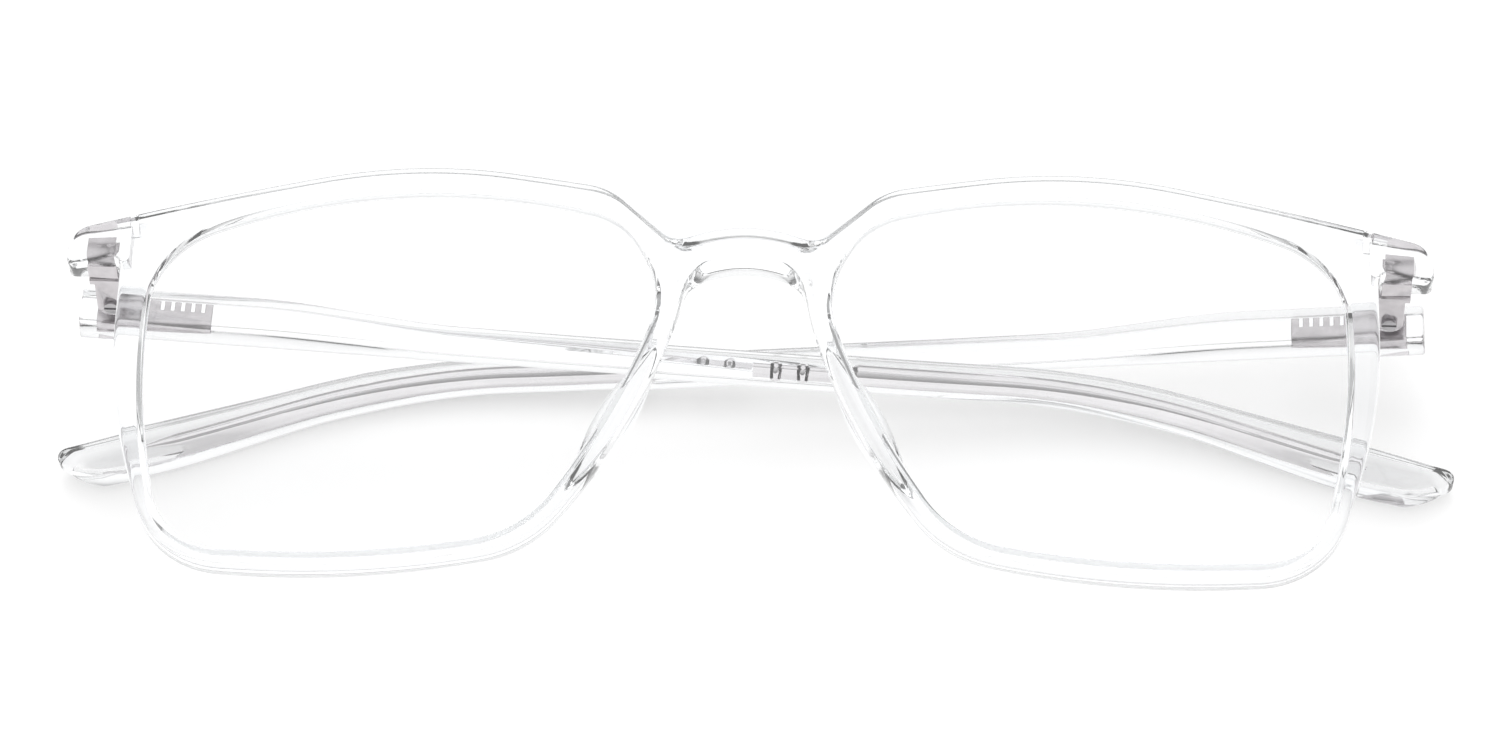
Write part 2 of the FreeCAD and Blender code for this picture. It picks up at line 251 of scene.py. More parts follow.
@dataclass(frozen=True)
class Rest:
    """How the folded glasses lie: the turn from the front's coordinates to the row's."""

    forward: float = 10.1
    sideways: float = 3.9

    def turn(self) -> Matrix:
        """Rotation from the front's coordinates to the row's."""
        return (Matrix.Rotation(math.radians(self.forward), 4, "X")
                @ Matrix.Rotation(math.radians(self.sideways), 4, "Y"))

    def to_row(self, hinge: HingeSizes, bow: Bow) -> Matrix:
        """Finds the way from the front to the row, by the right hinge's joint.

        Args:
            hinge: sizes of the hinges.
            bow: the front's bow.

        Returns:
            The matrix from millimetres in the front to metres in the row.
        """
        joint = next(j for j in frame["joints"] if j["name"] == "right_temple_fold")
        turned = self.turn() @ Matrix.Scale(MM, 4)
        shift = Vector(joint["pos_m"]) - turned @ hinge.axis_point(bow)
        return Matrix.Translation(shift) @ turned


class Nodes:
    """A node tree, with short calls to add and join nodes."""

    def __init__(self, tree: bpy.types.NodeTree, output: str) -> None:
        """Keeps the tree and the socket of its output node."""
        self.tree = tree
        self.end = tree.nodes[output].inputs["Surface"]

    def add(self, kind: str, **values: object) -> bpy.types.Node:
        """Adds a node and sets its attributes or inputs.

        Args:
            kind: the node's type name.
            values: attribute or input values; an input's name has its spaces as underscores.

        Returns:
            The node.
        """
        node = self.tree.nodes.new(kind)
        for name, value in values.items():
            if hasattr(node, name):
                setattr(node, name, value)
            else:
                node.inputs[name.replace("_", " ")].default_value = value
        return node

    def join(self, start: Socket, end: Socket) -> None:
        """Links two sockets."""
        self.tree.links.new(start, end)

    def any_ray(self, *kinds: str) -> Socket:
        """Tells the named kinds of ray from all others.

        Args:
            kinds: names of the light path's outputs.

        Returns:
            A value of one for a ray of any of the kinds, else zero.
        """
        path = self.add("ShaderNodeLightPath")
        found = path.outputs[kinds[0]]
        for kind in kinds[1:]:
            larger = self.add("ShaderNodeMath", operation="MAXIMUM")
            self.join(found, larger.inputs[0])
            self.join(path.outputs[kind], larger.inputs[1])
            found = larger.outputs[0]
        return found

    def blend(self, share: Socket, one: Socket, other: Socket) -> None:
        """Sends a mix of two shaders to the output.

        Args:
            share: share of the second shader.
            one: the first shader.
            other: the second shader.
        """
        mix = self.add("ShaderNodeMixShader")
        for entry, source in enumerate((share, one, other)):
            self.join(source, mix.inputs[entry])
        self.join(mix.outputs[0], self.end)


class Sheet(Nodes):
    """A material's node tree round its Principled surface."""

    # Places of a mix node's colour sockets
    colour_one, colour_other, colour_out = 6, 7, 2

    def __init__(self, name: str, **values: object) -> None:
        """Starts a material.

        Args:
            name: the material's name.
            values: inputs of its surface, with the spaces in their names as underscores.
        """
        self.material = bpy.data.materials.new(name)
        self.material.use_nodes = True
        super().__init__(self.material.node_tree, "Material Output")
        self.surface = self.tree.nodes["Principled BSDF"]
        self.place = self.add("ShaderNodeTexCoord").outputs["Object"]
        for entry, value in values.items():
            self.surface.inputs[entry.replace("_", " ")].default_value = value

    def noise(self, scale: float, detail: float,
              stretch: tuple[float, float, float] = (1.0, 1.0, 1.0)) -> Socket:
        """Adds noise over the piece.

        Args:
            scale: how fine it is.
            detail: how many finer layers it has.
            stretch: scale along each axis, by which it can be drawn out.

        Returns:
            The noise, from 0 to 1.
        """
        mapping = self.add("ShaderNodeMapping", Scale=stretch)
        self.join(self.place, mapping.inputs["Vector"])
        grain = self.add("ShaderNodeTexNoise", Scale=scale, Detail=detail)
        self.join(mapping.outputs["Vector"], grain.inputs["Vector"])
        return grain.outputs["Fac"]

    def grained(self, grain: Socket, tints: tuple[Colour, Colour],
                roughness: tuple[float, float]) -> None:
        """Lets a 0 to 1 value change the colour and the gloss.

        Args:
            grain: the value.
            tints: base colours at 0 and at 1.
            roughness: roughness at 0 and at 1.
        """
        mix = self.add("ShaderNodeMix", data_type="RGBA")
        mix.inputs[self.colour_one].default_value = (*tints[0], 1.0)
        mix.inputs[self.colour_other].default_value = (*tints[1], 1.0)
        self.join(grain, mix.inputs[0])
        self.join(mix.outputs[self.colour_out], self.surface.inputs["Base Color"])
        gloss = self.add("ShaderNodeMapRange", To_Min=roughness[0], To_Max=roughness[1])
        self.join(grain, gloss.inputs["Value"])
        self.join(gloss.outputs["Result"], self.surface.inputs["Roughness"])

    def relief(self, grain: Socket, strength: float, depth: float) -> None:
        """Bumps the surface by a value.

        Args:
            grain: the value.
            strength: share of the bump that shows.
            depth: height of the bump, in metres.
        """
        bump = self.add("ShaderNodeBump", Strength=strength, Distance=depth)
        self.join(grain, bump.inputs["Height"])
        self.join(bump.outputs["Normal"], self.surface.inputs["Normal"])

    def light_shadow(self, shade: float) -> None:
        """Lets a share of the lamps' and the room's light through each surface.

        Args:
            shade: the share.
        """
        through = self.add("ShaderNodeBsdfTransparent", Color=(shade, shade, shade, 1.0))
        self.blend(self.any_ray("Is Shadow Ray", "Is Diffuse Ray"), self.surface.outputs[0],
                   through.outputs[0])


@dataclass(frozen=True)
class ClearPlastic:
    """Clear moulded plastic: faint flow marks, a hint of cool tint, a faint painted glow."""

    name: str = "clear moulded plastic"
    tints: tuple[Colour, Colour] = ((0.970, 0.975, 0.981), (0.946, 0.953, 0.962))
    index: float = 1.49
    roughness: tuple[float, float] = (0.0, 0.035)
    flow_scale: float = 90.0
    flow_detail: float = 2.0
    flow_stretch: tuple[float, float, float] = (1.0, 0.35, 1.0)
    flow_strength: float = 0.25
    flow_depth: float = 0.00002
    shade: float = 0.72
    # Emission strength: a faint painted glow over the plastic, light that no lamp gives
    painted_glow: float = 0.02

    def material(self) -> bpy.types.Material:
        """Makes the material.

        Returns:
            The material, with flow marks in its colour, gloss and relief, and a painted glow.
        """
        # The emission is the painted glow: the plastic shines a little by itself
        sheet = Sheet(self.name, Transmission_Weight=1.0, IOR=self.index, Emission_Color=WHITE,
                      Emission_Strength=self.painted_glow)
        flow = sheet.noise(self.flow_scale, self.flow_detail, self.flow_stretch)
        sheet.grained(flow, self.tints, self.roughness)
        sheet.relief(flow, self.flow_strength, self.flow_depth)
        sheet.light_shadow(self.shade)
        return sheet.material


@dataclass(frozen=True)
class LensPlastic:
    """Polished demonstration lens, almost without colour."""

    name: str = "polished lens plastic"
    tints: tuple[Colour, Colour] = ((0.997, 0.997, 0.997), (0.991, 0.992, 0.993))
    index: float = 1.5
    roughness: tuple[float, float] = (0.0, 0.012)
    polish_scale: float = 40.0
    polish_detail: float = 2.0
    shade: float = 0.96

    def material(self) -> bpy.types.Material:
        """Makes the material.

        Returns:
            The material, with a barely uneven polish.
        """
        sheet = Sheet(self.name, Transmission_Weight=1.0, IOR=self.index)
        polish = sheet.noise(self.polish_scale, self.polish_detail)
        sheet.grained(polish, self.tints, self.roughness)
        sheet.light_shadow(self.shade)
        return sheet.material


@dataclass(frozen=True)
class GroundEdge:
    """Matt ground bevel of a lens; its milky look is partly a painted glow."""

    name: str = "ground lens edge"
    tints: tuple[Colour, Colour] = ((0.93, 0.94, 0.945), (0.86, 0.875, 0.885))
    clearness: float = 0.6
    # Emission strength: a painted glow standing in for light scattered in the frosted edge
    painted_milky_glow: float = 0.2
    roughness: tuple[float, float] = (0.35, 0.6)
    grain_scale: float = 1500.0
    grain_detail: float = 3.0
    grain_strength: float = 0.3
    grain_depth: float = 0.00001
    shade: float = 0.9

    def material(self) -> bpy.types.Material:
        """Makes the material.

        Returns:
            The material, finely grained, milky from its frosting and from a painted glow.
        """
        # The emission is the painted glow of the milky edge
        sheet = Sheet(self.name, Transmission_Weight=self.clearness, Emission_Color=WHITE,
                      Emission_Strength=self.painted_milky_glow)
        grain = sheet.noise(self.grain_scale, self.grain_detail)
        sheet.grained(grain, self.tints, self.roughness)
        sheet.relief(grain, self.grain_strength, self.grain_depth)
        sheet.light_shadow(self.shade)
        return sheet.material


@dataclass(frozen=True)
class Metal:
    """Plated or drawn metal with fine marks, which can run along one axis."""

    name: str
    tints: tuple[Colour, Colour]
    roughness: tuple[float, float]
    grain_scale: float = 900.0
    grain_detail: float = 4.0
    stretch: tuple[float, float, float] = (1.0, 1.0, 1.0)
    grain_strength: float = 0.35
    grain_depth: float = 0.00001

    def material(self) -> bpy.types.Material:
        """Makes the material.

        Returns:
            The material, with its grain in colour, gloss and relief.
        """
        sheet = Sheet(self.name, Metallic=1.0)
        grain = sheet.noise(self.grain_scale, self.grain_detail, self.stretch)
        sheet.grained(grain, self.tints, self.roughness)
        sheet.relief(grain, self.grain_strength, self.grain_depth)
        return sheet.material


@dataclass(frozen=True)
class TableWhite:
    """Matt white table top that glows a little where it is seen, so that it stays white."""

    name: str = "white table"
    colour: Colour = (0.93, 0.93, 0.93)
    roughness: float = 0.9
    gloss: float = 0.1
    glow: float = 0.45

    def material(self) -> bpy.types.Material:
        """Makes the material.

        Returns:
            The material, which mixes in its glow for the rays that look at it.
        """
        sheet = Sheet(self.name, Base_Color=(*self.colour, 1.0), Roughness=self.roughness,
                      Specular_IOR_Level=self.gloss)
        share = sheet.add("ShaderNodeMath", operation="MULTIPLY")
        seen = sheet.any_ray("Is Camera Ray", "Is Transmission Ray", "Is Glossy Ray")
        sheet.join(seen, share.inputs[0])
        share.inputs[1].default_value = self.glow
        glow = sheet.add("ShaderNodeEmission", Strength=1.0)
        sheet.blend(share.outputs[0], sheet.surface.outputs[0], glow.outputs[0])
        return sheet.material


Finish = ClearPlastic | LensPlastic | GroundEdge | Metal | TableWhite

HINGE_METAL = Metal("plated hinge metal", tints=((0.74, 0.715, 0.73), (0.50, 0.475, 0.49)),
                    roughness=(0.1, 0.28))
SCREW_STEEL = Metal("hinge screw steel", tints=((0.56, 0.55, 0.56), (0.36, 0.35, 0.36)),
                    roughness=(0.15, 0.3))
WIRE_STEEL = Metal("drawn core wire", tints=((0.93, 0.915, 0.925), (0.74, 0.72, 0.73)),
                   roughness=(0.03, 0.1), grain_scale=500.0, stretch=(0.15, 1.0, 1.0))


def placed(name: str, data: bpy.types.ID) -> bpy.types.Object:
    """Makes an object of some data and links it to the scene.

    Args:
        name: the object's name.
        data: its mesh, light or camera.

    Returns:
        The object.
    """
    piece = bpy.data.objects.new(name, data)
    bpy.context.scene.collection.objects.link(piece)
    return piece


def smooth_over(mesh: bpy.types.Mesh, sharp: float = SHARP_EDGE) -> None:
    """Shades a mesh smooth, apart from edges over an angle in degrees."""
    mesh.shade_smooth()
    mesh.set_sharp_from_angle(angle=math.radians(sharp))


def bake(piece: bpy.types.Object) -> None:
    """Replaces a piece's mesh by what its modifiers make of it.

    Args:
        piece: the piece, whose modifiers go.
    """
    seen = piece.evaluated_get(bpy.context.evaluated_depsgraph_get())
    mesh = bpy.data.meshes.new_from_object(seen)
    piece.modifiers.clear()
    piece.data = mesh


def to_left(shape: bmesh.types.BMesh, verts: Iterable[bmesh.types.BMVert]) -> None:
    """Mirrors points of a mesh across the middle plane."""
    bmesh.ops.scale(shape, vec=(-1.0, 1.0, 1.0), verts=list(verts))


def skin(shape: bmesh.types.BMesh, rings: Sequence[Loop], closed: bool = False) -> None:
    """Lays quads between rings of equal count; open ends are closed by fans.

    Args:
        shape: the mesh to fill.
        rings: closed rings of points.
        closed: whether the last ring joins the first.
    """
    rows = [[shape.verts.new(point) for point in ring] for ring in rings]
    pairs = list(zip(rows, rows[1:] + rows[:1]))
    for one, other in pairs if closed else pairs[:-1]:
        count = len(one)
        for index in range(count):
            following = (index + 1) % count
            shape.faces.new((one[index], one[following], other[following], other[index]))
    if closed:
        return
    for row in (rows[0], rows[-1]):
        middle = shape.verts.new(sum((v.co for v in row), Vector()) / len(row))
        for index, vert in enumerate(row):
            shape.faces.new((vert, row[(index + 1) % len(row)], middle))


class Workshop:
    """Turns loops of points into named, dressed pieces that ride on their bodies."""

    merge_distance = 0.0005
    shortest_edge = 0.0002

    def __init__(self, to_row: Matrix) -> None:
        """Keeps the matrix from the front's millimetres to the row."""
        self.to_row = to_row
        self.materials: dict[str, bpy.types.Material] = {}

    def finish_of(self, finish: Finish) -> bpy.types.Material:
        """Makes a finish's material once.

        Args:
            finish: the finish.

        Returns:
            Its one material.
        """
        if finish.name not in self.materials:
            self.materials[finish.name] = finish.material()
        return self.materials[finish.name]

    def mesh_of(self, name: str, build: Callable[[bmesh.types.BMesh], None],
                place: Matrix = IDENTITY, sharp: float = SHARP_EDGE) -> bpy.types.Object:
        """Makes an object from a building function.

        Args:
            name: the object's name.
            build: fills the mesh, in millimetres.
            place: matrix from the mesh's coordinates to the front's.
            sharp: angle in degrees over which an edge stays sharp.

        Returns:
            The object, in the row, linked to the scene.
        """
        shape = bmesh.new()
        build(shape)
        bmesh.ops.remove_doubles(shape, verts=shape.verts, dist=self.merge_distance)
        bmesh.ops.dissolve_degenerate(shape, edges=shape.edges, dist=self.shortest_edge)
        bmesh.ops.transform(shape, matrix=self.to_row @ place, verts=shape.verts)
        bmesh.ops.recalc_face_normals(shape, faces=shape.faces)
        mesh = bpy.data.meshes.new(name)
        shape.to_mesh(mesh)
        shape.free()
        smooth_over(mesh, sharp)
        return placed(name, mesh)

    def join_to(self, piece: bpy.types.Object, others: Iterable[bpy.types.Object]) -> None:
        """Fuses other objects into a piece and deletes them.

        Args:
            piece: the piece that stays.
            others: the objects that become part of it.
        """
        for other in others:
            union = piece.modifiers.new("union", "BOOLEAN")
            union.operation = "UNION"
            union.solver = "EXACT"
            union.object = other
            bake(piece)
            bpy.data.objects.remove(other)
        smooth_over(piece.data)

    def dress(self, piece: bpy.types.Object, finish: Finish, slot: str, body: str,
              node: str) -> None:
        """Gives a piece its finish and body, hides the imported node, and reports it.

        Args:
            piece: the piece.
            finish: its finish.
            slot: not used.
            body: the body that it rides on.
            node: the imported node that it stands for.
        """
        piece.data.materials.clear()
        piece.data.materials.append(self.finish_of(finish))
        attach(piece, body)
        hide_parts(node)
        LOG.info("%s: %d faces on %s", piece.name, len(piece.data.polygons), body)


@dataclass(frozen=True)
class LensSeat:
    """How deep a lens lies in the rim and how thick it is."""

    inset: float = 0.75
    thickness: float = 1.4


class Span(NamedTuple):
    """Matching stretches of the opening and of the outer outline, by lengths along them.

    The outer lengths are None where the stretch crosses the bridge on the middle plane.
    """

    inner_start: float
    inner_end: float
    outer_start: float | None
    outer_end: float | None
    steps: int
    in_lug: bool = False


class Station(NamedTuple):
    """A place round the right half: lengths along both outlines, or a height on the middle."""

    inner: float
    outer: float | None
    height: float = 0.0
    in_lug: bool = False


class Cut(NamedTuple):
    """What a cross-section of the front is drawn from.

    inner lies on the opening and away points from the lens. near and far are the ends of the flat
    face, and outward points out of the front.
    """

    inner: Vector
    away: Vector
    near: Vector
    far: Vector
    outward: Vector
    rounding: float
    in_lug: bool


@dataclass
class FrontShell:
    """The clear moulded front: rims, bridge, endpieces and nose pads in one piece."""

    shop: Workshop
    bow: Bow
    hinge: HingeSizes
    seat: LensSeat
    thickness: float = 2.8
    bridge_depth: float = 4.3
    bridge_reach: tuple[float, float] = (5.0, 7.6)
    edge: float = 0.55
    edge_steps: int = 4
    across_steps: int = 7
    ledge_steps: int = 3
    ledge_share: float = 0.9
    ledge_most: float = 0.98
    lug_inner_side: float = 63.2
    lug_place: float = 0.22
    lug_before: float = 2.2
    lug_after: float = 2.6
    lug_start: float = 0.8042
    lug_steps: int = 90
    corner_steps: int = 40
    side_steps: int = 36
    bridge_steps: int = 24
    middle_steps: int = 10
    bridge_shares: tuple[float, float, float] = (0.3, 0.55, 0.85)
    brow_share: float = 0.35
    groove_depth: float = 0.6
    groove_slack: float = 0.04
    middle_slack: float = 0.0001
    pad_top: tuple[float, float] = (7.9, 4.0)
    pad_bottom: tuple[float, float] = (17.6, -14.6)
    pad_half_width: float = 1.7
    pad_half_depth: float = 3.0
    pad_back: float = 3.6
    pad_fullness: float = 1.1
    pad_blunt: float = 0.004
    pad_rings: int = 40
    pad_around: int = 36
    opening: Path2D = field(init=False)
    outer: Path2D = field(init=False)
    turns: list[float] = field(init=False)

    def __post_init__(self) -> None:
        """Samples the two outlines and the turns of a rounded edge."""
        left = [(-x, y, r) for x, y, r in reversed(OUTER[1:-1])]
        self.opening = Path2D(OPENING)
        self.outer = Path2D(list(OUTER) + left)
        self.turns = [math.pi / 2 * step / self.edge_steps
                      for step in range(1, self.edge_steps + 1)]

    def back_at(self, across: float, up: float, in_lug: bool) -> Vector:
        """Finds a point of the back surface.

        Args:
            across: distance from the middle plane.
            up: height.
            in_lug: whether the point lies on the endpiece's flat back.

        Returns:
            The point.
        """
        if in_lug:
            place = self.hinge.place(self.bow)
            forward = place.to_3x3() @ Vector((0.0, 0.0, 1.0))
            base = place.translation + forward * self.hinge.axis_behind_endpiece
            level = base.z - forward.y / forward.z * (up - base.y)
            return Vector((across, up, level))
        inside, outside = self.bridge_reach
        share = smooth_step((outside - abs(across)) / (outside - inside))
        depth = self.thickness + (self.bridge_depth - self.thickness) * share
        return self.bow.point(across, up, depth)

    def spans(self) -> list[Span]:
        """Pairs the stretches of the two outlines.

        Returns:
            The stretches, clockwise round the right half from its brow.
        """
        inner, outer = self.opening.marks, self.outer.marks
        lug = inner[1] - self.lug_place * (inner[1] - inner[0])
        lug_first, lug_last = lug - self.lug_before, lug + self.lug_after
        lug_start = outer[3] + self.lug_start * (outer[4] - outer[3])
        bridge = inner[8] - inner[7]
        under, over, above = (inner[7] + share * bridge for share in self.bridge_shares)
        brow = inner[0] + self.opening.total
        nose = inner[8] + self.brow_share * (brow - inner[8])
        return [
            Span(inner[0], lug_first, outer[3], lug_start, self.corner_steps),
            Span(lug_first, lug_last, lug_start, outer[6], self.lug_steps, in_lug=True),
            Span(lug_last, inner[2], outer[6], outer[7], self.side_steps),
            Span(inner[2], inner[3], outer[7], outer[8], self.corner_steps),
            Span(inner[3], inner[4], outer[8], outer[9], self.corner_steps),
            Span(inner[4], inner[5], outer[9], outer[10], self.side_steps),
            Span(inner[5], inner[6], outer[10], outer[11], self.side_steps),
            Span(inner[6], inner[7], outer[11], outer[12], self.side_steps),
            Span(inner[7], under, outer[12], outer[13], self.bridge_steps),
            Span(under, over, None, None, self.middle_steps),
            Span(over, above, outer[0], outer[1], self.bridge_steps),
            Span(above, nose, outer[1], outer[2], self.side_steps),
            Span(nose, brow, outer[2], outer[3], self.side_steps),
        ]

    def stations(self) -> list[Station]:
        """Divides the stretches into places for cross-sections.

        Returns:
            The places, clockwise round the right half from its brow.
        """
        top, underside = self.outer.marks[0], self.outer.marks[len(OUTER) - 1]
        low = self.outer.at(underside).y + self.edge
        high = self.outer.at(top).y - self.edge
        found: list[Station] = []
        for span in self.spans():
            for step in range(span.steps):
                share = step / span.steps
                here = span.inner_start + (span.inner_end - span.inner_start) * share
                if span.outer_start is not None:
                    there = span.outer_start + (span.outer_end - span.outer_start) * share
                    found.append(Station(here, there, in_lug=span.in_lug and step > 0))
                elif step > 0:
                    found.append(Station(here, None, low + (high - low) * share))
                else:
                    found.append(Station(here, underside))
        return found

    def cut(self, station: Station) -> Cut:
        """Finds what the cross-section at a place is drawn from.

        Args:
            station: the place.

        Returns:
            The ends and directions of the cross-section.
        """
        inner = self.opening.at(station.inner)
        away = self.opening.outward(station.inner)
        near = inner + away * self.edge
        if station.outer is None:
            far = Vector((0.0, station.height))
            return Cut(inner, away, near, far, Vector((1.0, 0.0)), 0.0, False)
        outward = self.outer.outward(station.outer)
        far = self.outer.at(station.outer) - outward * self.edge
        return Cut(inner, away, near, far, outward, self.edge, station.in_lug)

    def face(self, cut: Cut) -> Loop:
        """Draws the front face of a cross-section.

        Args:
            cut: the cross-section.

        Returns:
            The points, from the lens outward.
        """
        places = [cut.near.lerp(cut.far, step / self.across_steps)
                  for step in range(self.across_steps + 1)]
        return [self.bow.point(place.x, place.y, 0.0) for place in places]

    def outer_edge(self, cut: Cut) -> Loop:
        """Draws the rounded outer edge of a cross-section.

        Args:
            cut: the cross-section.

        Returns:
            The points, from front to back.
        """
        points: Loop = []
        for turn in self.turns:
            place = cut.far + cut.outward * (cut.rounding * math.sin(turn))
            depth = cut.rounding * (1 - math.cos(turn))
            points.append(self.bow.point(place.x, place.y, depth))
        for turn in reversed([0.0] + self.turns[:-1]):
            place = cut.far + cut.outward * (cut.rounding * math.cos(math.pi / 2 - turn))
            rise = Vector((0.0, 0.0, cut.rounding * (1 - math.cos(turn))))
            points.append(self.back_at(place.x, place.y, cut.in_lug) + rise)
        return points

    def back(self, cut: Cut) -> Loop:
        """Draws the back of a cross-section: the endpiece's flat, then the rim's back.

        Args:
            cut: the cross-section.

        Returns:
            The points, from the outer edge inward.
        """
        share = self.ledge_share
        if cut.in_lug:
            share = min((self.lug_inner_side - cut.near.x) / (cut.far.x - cut.near.x),
                        self.ledge_most)
        points: Loop = []
        for step in range(self.ledge_steps):
            place = cut.far.lerp(cut.near, (1 - share) * (step + 1) / self.ledge_steps)
            points.append(self.back_at(place.x, place.y, cut.in_lug))
        for step in range(self.across_steps):
            place = cut.near.lerp(cut.far, share * (1 - step / (self.across_steps - 1)))
            points.append(self.back_at(place.x, place.y, False))
        return points

    def inner_edge(self, cut: Cut) -> Loop:
        """Draws the inner edge of a cross-section, with the lens groove.

        Args:
            cut: the cross-section.

        Returns:
            The points, from back to front.
        """
        points: Loop = []
        for turn in self.turns:
            place = cut.near - cut.away * (self.edge * math.sin(turn))
            rise = Vector((0.0, 0.0, self.edge * (1 - math.cos(turn))))
            points.append(self.back_at(place.x, place.y, False) + rise)
        front = self.seat.inset
        rear = front + self.seat.thickness
        groove = ((0.0, rear + self.groove_slack),
                  (self.groove_depth, rear - self.groove_depth + self.groove_slack),
                  (self.groove_depth, front + self.groove_depth - self.groove_slack),
                  (0.0, front - self.groove_slack))
        for outset, depth in groove:
            place = cut.inner + cut.away * outset
            points.append(self.bow.point(place.x, place.y, depth))
        for turn in reversed(self.turns[:-1]):
            place = cut.near - cut.away * (self.edge * math.sin(turn))
            depth = self.edge * (1 - math.cos(turn))
            points.append(self.bow.point(place.x, place.y, depth))
        return points

    def strip(self, station: Station) -> Loop:
        """Closed cross-section of the front at one place, in the front's coordinates."""
        cut = self.cut(station)
        return self.face(cut) + self.outer_edge(cut) + self.back(cut) + self.inner_edge(cut)

    def fill_halves(self, shape: bmesh.types.BMesh) -> None:
        """Adds both halves of the front, open to each other on the middle plane.

        Args:
            shape: the mesh to fill.
        """
        skin(shape, [self.strip(station) for station in self.stations()], closed=True)
        walls = [face for face in shape.faces
                 if all(abs(v.co.x) < self.middle_slack for v in face.verts)]
        bmesh.ops.delete(shape, geom=walls, context="FACES")
        source = list(shape.verts) + list(shape.edges) + list(shape.faces)
        copy = bmesh.ops.duplicate(shape, geom=source)["geom"]
        to_left(shape, (item for item in copy if isinstance(item, bmesh.types.BMVert)))
        faces = [item for item in copy if isinstance(item, bmesh.types.BMFace)]
        bmesh.ops.reverse_faces(shape, faces=faces)

    def fill_pad(self, shape: bmesh.types.BMesh, side: Side) -> None:
        """Adds one nose pad, a swelling ridge behind the nasal side of the rim.

        Args:
            shape: the mesh to fill.
            side: the pad's side.
        """
        behind = Vector((0.0, 0.0, self.pad_back))
        top = self.bow.point(*self.pad_top, 0.0) - behind
        bottom = self.bow.point(*self.pad_bottom, 0.0) - behind
        along = (bottom - top).normalized()
        sideways = Vector((0.0, 0.0, 1.0)).cross(along).normalized()
        backward = along.cross(sideways).normalized()
        rings: list[Loop] = []
        for number in range(self.pad_rings + 1):
            eased = 0.5 - 0.5 * math.cos(math.pi * number / self.pad_rings)
            share = self.pad_blunt + (1 - 2 * self.pad_blunt) * eased
            swell = math.sin(math.pi * share) ** self.pad_fullness
            centre = top.lerp(bottom, share)
            angles = [math.tau * index / self.pad_around for index in range(self.pad_around)]
            rings.append([centre
                          + backward * (self.pad_half_depth * swell * math.cos(angle))
                          + sideways * (self.pad_half_width * swell * math.sin(angle))
                          for angle in angles])
        skin(shape, rings)
        if side is Side.LEFT:
            to_left(shape, shape.verts)

    def build(self) -> None:
        """Makes and dresses the front."""
        piece = self.shop.mesh_of("clear_front", self.fill_halves)
        pads = [self.shop.mesh_of(side.word + "_pad", partial(self.fill_pad, side=side))
                for side in Side]
        self.shop.join_to(piece, pads)
        self.shop.dress(piece, ClearPlastic(), "clear_plastic", "front", "front_frame")


@dataclass
class Lens:
    """A bowed lens with a blunt V round its edge, seated in the rim's groove."""

    shop: Workshop
    bow: Bow
    seat: LensSeat
    side: Side
    bevel: float = 0.55
    clearance: float = 0.06
    land_slack: float = 0.02
    around: int = 300
    rings: int = 9
    sharp: float = 30.0
    edge: Loop = field(init=False)
    outward: Loop = field(init=False)
    middle: Vector = field(init=False)

    def __post_init__(self) -> None:
        """Samples the opening that the lens fills."""
        path = Path2D(OPENING)
        places = [path.total * index / self.around for index in range(self.around)]
        self.edge = [path.at(place) for place in places]
        self.outward = [path.outward(place) for place in places]
        self.middle = sum(self.edge, Vector((0.0, 0.0))) / len(self.edge)

    def ring(self, share: float, outset: float, depth: float) -> Loop:
        """Draws one ring of the lens.

        Args:
            share: its share of the way from the middle to the edge.
            outset: how far the edge is moved out for it.
            depth: its depth behind the front's face.

        Returns:
            The ring.
        """
        found: Loop = []
        for point, away in zip(self.edge, self.outward):
            place = self.middle.lerp(point + away * outset, share)
            found.append(self.bow.point(place.x, place.y, depth))
        return found

    def fill(self, shape: bmesh.types.BMesh) -> None:
        """Adds the lens: its front face, the bevel and its back face.

        Args:
            shape: the mesh to fill.
        """
        front = self.seat.inset
        back = front + self.seat.thickness
        land = self.clearance + self.land_slack
        tip = self.bevel - self.clearance
        rows = [self.ring(number / self.rings, -land, front)
                for number in range(1, self.rings + 1)]
        rows.append(self.ring(1.0, tip, front + self.bevel))
        rows.append(self.ring(1.0, tip, back - self.bevel))
        rows += [self.ring(number / self.rings, -land, back)
                 for number in range(self.rings, 0, -1)]
        skin(shape, rows)
        if self.side is Side.LEFT:
            to_left(shape, shape.verts)

    def build(self) -> None:
        """Makes and dresses the lens, with its bevel ground matt."""
        word = self.side.word
        piece = self.shop.mesh_of(word + "_clear_lens", self.fill, sharp=self.sharp)
        self.shop.dress(piece, LensPlastic(), "lens_plastic", "front", word + "_lens")
        piece.data.materials.append(self.shop.finish_of(GroundEdge()))
        bevel_first, bevel_end = self.rings - 1, self.rings + 2
        for polygon in piece.data.polygons[bevel_first * self.around:bevel_end * self.around]:
            polygon.material_index = 1


class Girth(NamedTuple):
    """Size of the arm at a place along it, and how high its middle lies there."""

    place: float
    height: float
    width: float
    rise: float


